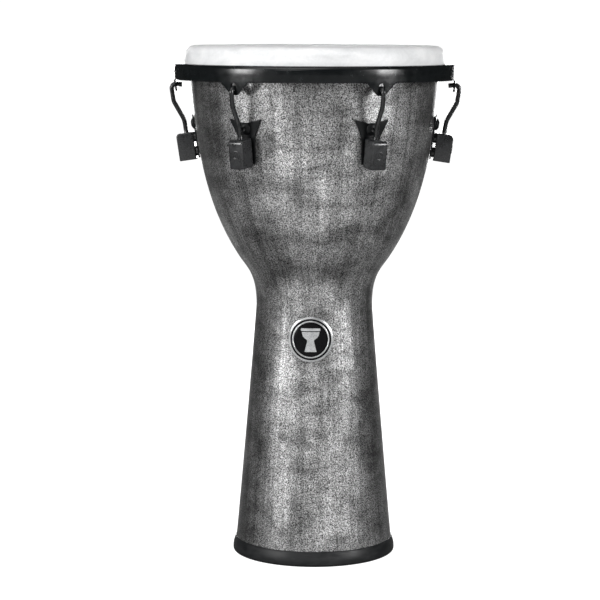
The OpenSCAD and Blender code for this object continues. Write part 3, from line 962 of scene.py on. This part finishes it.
def badge_rings(section, steps):
    """Points of rings round the badge's centre, each given as (radius, height above the neck)."""
    turns = [2 * math.pi * k / steps for k in range(steps)]
    return [[on_neck(r * math.cos(a), r * math.sin(a), height) for a in turns] for r, height in section]


def badge_ring_piece(material):
    """Round rim with a sloping outer lip, a black groove and a rounded inner bead."""
    groove_h, bead_r = GLUE + 0.3, 0.85
    section = ([(BADGE_R, GLUE)] + arc((BADGE_R - 1.5, groove_h), 0.75, 0, 90, 6)
               + arc((BADGE_R - 2.1, GLUE + 0.85), 0.2, 90, 180, 3)
               + [(GROOVE_OUT_R, groove_h), (GROOVE_R, groove_h)]
               + arc((GROOVE_R - bead_r, groove_h), bead_r, 0, 180, 10) + [(BADGE_FIELD_R, GLUE)])
    piece = smooth(mesh_object("badge_rim", *grid(badge_rings(section, 120), True, True)), 40)
    return finished(piece, material, "drum", "badge_metal", "badge_ring")


def badge_field_piece(material):
    """Round black field with softened edges."""
    edge = BADGE_FIELD_R - 0.05
    radii = [0, 3, 6, 9, 12, 15, 18, edge - 0.3]
    section = ([(r, GLUE + FIELD_T) for r in radii] + [(edge, GLUE + 0.75 * FIELD_T), (edge, GLUE)]
               + [(r, GLUE) for r in radii[::-1]])
    piece = smooth(mesh_object("badge_black_field", *grid(badge_rings(section, 96), True, True)), 40)
    return finished(piece, material, "drum", "badge_enamel", "badge_field")


def emblem_outlines():
    """A goblet drum from the side: a bar for its head, a round bowl and a flared foot."""
    bar_w, foot_w, waist_w = 11.5, 7.2, 4.0
    bar = rounded([(-bar_w, 10.4), (bar_w, 10.4), (bar_w, 13.5), (-bar_w, 13.5)], 0.4, 3)
    right = [p for p in arc((0, 9.7), 10.6, -2.7, -67, 16) if p[0] > 4.2]
    stem = [(waist_w, -1.4), (foot_w, -14.5), (-foot_w, -14.5), (-waist_w, -1.4)]
    left = [(-x, z) for x, z in right[::-1]]
    return bar, rounded(right + stem + left, 0.25, 2)


def add_raised(bm, outline):
    """Adds an outline to a mesh as a flat solid, one unit high."""
    face = bm.faces.new([bm.verts.new((x, z, 0)) for x, z in outline])
    flat = bmesh.ops.triangulate(bm, faces=[face])["faces"]
    solid = bmesh.ops.extrude_face_region(bm, geom=flat)
    raised = [v for v in solid["geom"] if isinstance(v, bmesh.types.BMVert)]
    bmesh.ops.translate(bm, verts=raised, vec=(0, 0, 1))


def emblem_piece(material):
    """Raised emblem, cut into narrow strips so that it bends to lie on the neck."""
    base = GLUE + FIELD_T
    bm = bmesh.new()
    for outline in emblem_outlines():
        add_raised(bm, outline)
    bmesh.ops.recalc_face_normals(bm, faces=bm.faces)
    for x in range(-12, 13):
        everything = bm.verts[:] + bm.edges[:] + bm.faces[:]
        bmesh.ops.bisect_plane(bm, geom=everything, plane_co=(x, 0, 0), plane_no=(1, 0, 0))
    rim = [e for e in bm.edges if e.verts[0].co.z > 0.5 and e.verts[1].co.z > 0.5
           and e.calc_face_angle(0) > math.radians(60)]
    for v in bm.verts:
        v.co = Vector(on_neck(v.co.x, v.co.y, base + EMBLEM_T * v.co.z)) * MM
    bmesh.ops.bevel(bm, geom=rim, offset=0.12 * MM, segments=2, profile=0.5, affect="EDGES")
    bmesh.ops.recalc_face_normals(bm, faces=bm.faces)
    piece = smooth(from_bmesh("badge_emblem_relief", bm), 30)
    return finished(piece, material, "drum", "badge_metal", "badge_emblem")


def dress_cad_nodes(materials):
    """Better materials for the small hardware that keeps its CAD shape."""
    for name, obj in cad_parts.items():
        if name.startswith(("backing_plate", "bolt_washers", "bolt_nuts", "lug_screws", "tuning_washers")):
            for slot in obj.material_slots:
                slot.material = materials["plated"]


# ---- studio ----

def studio_floor():
    """A wide square of floor under the drum."""
    bm = bmesh.new()
    bmesh.ops.create_grid(bm, x_segments=12, y_segments=12, size=6.0)
    floor = from_bmesh("studio_floor", bm)
    floor.data.materials.append(floor_material())


def studio_world():
    """White behind the drum for the camera, dim grey for everything that the drum reflects."""
    world = bpy.data.worlds.new("studio")
    bpy.context.scene.world = world
    world.use_nodes = True
    nodes, links = world.node_tree.nodes, world.node_tree.links
    nodes.clear()
    out = nodes.new("ShaderNodeOutputWorld")
    mix = nodes.new("ShaderNodeMixShader")
    path = nodes.new("ShaderNodeLightPath")
    for index, strength in ((1, 0.03), (2, 1.05)):
        back = nodes.new("ShaderNodeBackground")
        back.inputs["Color"].default_value = (1, 1, 1, 1)
        back.inputs["Strength"].default_value = strength
        links.new(back.outputs[0], mix.inputs[index])
    links.new(path.outputs["Is Camera Ray"], mix.inputs[0])
    links.new(mix.outputs[0], out.inputs[0])


def softbox(name, azimuth, distance, height, size, power, aim=0.36):
    """A rectangular light aimed at the drum's axis; azimuth is measured from -Y towards +X."""
    light = bpy.data.lights.new(name, "AREA")
    light.shape = "RECTANGLE"
    light.size, light.size_y = size
    light.energy = power
    lamp = linked(name, light)
    a = math.radians(azimuth)
    lamp.location = (distance * math.sin(a), -distance * math.cos(a), height)
    lamp.rotation_euler = (Vector((0, 0, aim)) - lamp.location).to_track_quat("-Z", "Y").to_euler()
    lamp.visible_camera = False


def studio_lights():
    """Soft light from both sides, a little from the front, above and below, and one light behind."""
    sun = bpy.data.lights.new("overhead", "SUN")
    sun.energy = 0.6
    sun.angle = math.radians(60)
    linked("overhead", sun).rotation_euler = (math.radians(10), 0, 0)
    softbox("left_softbox", -54, 2.0, 0.9, (0.6, 0.8), 44)
    softbox("right_softbox", 60, 2.0, 0.9, (0.5, 0.8), 46)
    softbox("front_softbox", -16, 2.6, 1.5, (0.8, 0.6), 9)
    softbox("top_softbox", -30, 1.0, 1.9, (1.7, 0.8), 15, 0.6)
    softbox("floor_bounce", -3, 0.95, 0.03, (1.8, 0.9), 5)
    softbox("low_softbox", -3, 0.42, 0.03, (1.0, 0.24), 1.35, 0.45)
    softbox("back_softbox", 180, 2.4, 0.55, (1.9, 0.5), 50)


def studio_camera():
    """Camera at the reference viewing angle: slightly right of the badge and just above the head."""
    data = bpy.data.cameras.new("camera")
    data.sensor_width = 36
    data.lens = 130.3
    data.shift_x = -0.0238
    camera = linked("camera", data)
    azimuth, distance, height = math.radians(3.3), 2.646, 0.655
    pitch, roll = math.radians(7.4), math.radians(0.17)
    camera.location = (distance * math.sin(azimuth), -distance * math.cos(azimuth), height)
    around, down = Matrix.Rotation(azimuth, 4, "Z"), Matrix.Rotation(math.pi / 2 - pitch, 4, "X")
    camera.rotation_euler = (around @ down @ Matrix.Rotation(roll, 4, "Z")).to_euler()
    bpy.context.scene.camera = camera


def build():
    """Makes the camera, the studio and every piece of the drum."""
    bpy.context.scene.view_settings.view_transform = "Standard"
    studio_camera()
    studio_world()
    studio_lights()
    studio_floor()
    materials = {
        "shell": shell_material(),
        "film": film_material(),
        "rim": powder_material("rim_coat", (0.0044, 0.0054, 0.0058), 0.2, 0.05, 0.28),
        "plate": powder_material("plate_coat", (0.005, 0.0056, 0.006), 0.34, 0.2, 0.14),
        "box": powder_material("box_coat", (0.02, 0.0208, 0.022), 0.27, 0.4, 0.42, 0.75),
        "hook": powder_material("rod_coat", (0.005, 0.0056, 0.006), 0.22, 0.08, 0.4),
        "rubber": rubber_material(),
        "anodised": anodised_material(),
        "plated": plated_material(),
        "silver": badge_metal_material(),
        "enamel": enamel_material(),
    }
    shell_piece(materials["shell"])
    foot_ring_piece(materials["rubber"])
    head_film_piece(materials["film"])
    flesh_hoop_piece(materials["anodised"])
    rim_piece(materials["rim"])
    lug_pieces(materials)
    badge_ring_piece(materials["silver"])
    badge_field_piece(materials["enamel"])
    emblem_piece(materials["silver"])
    dress_cad_nodes(materials)


build()
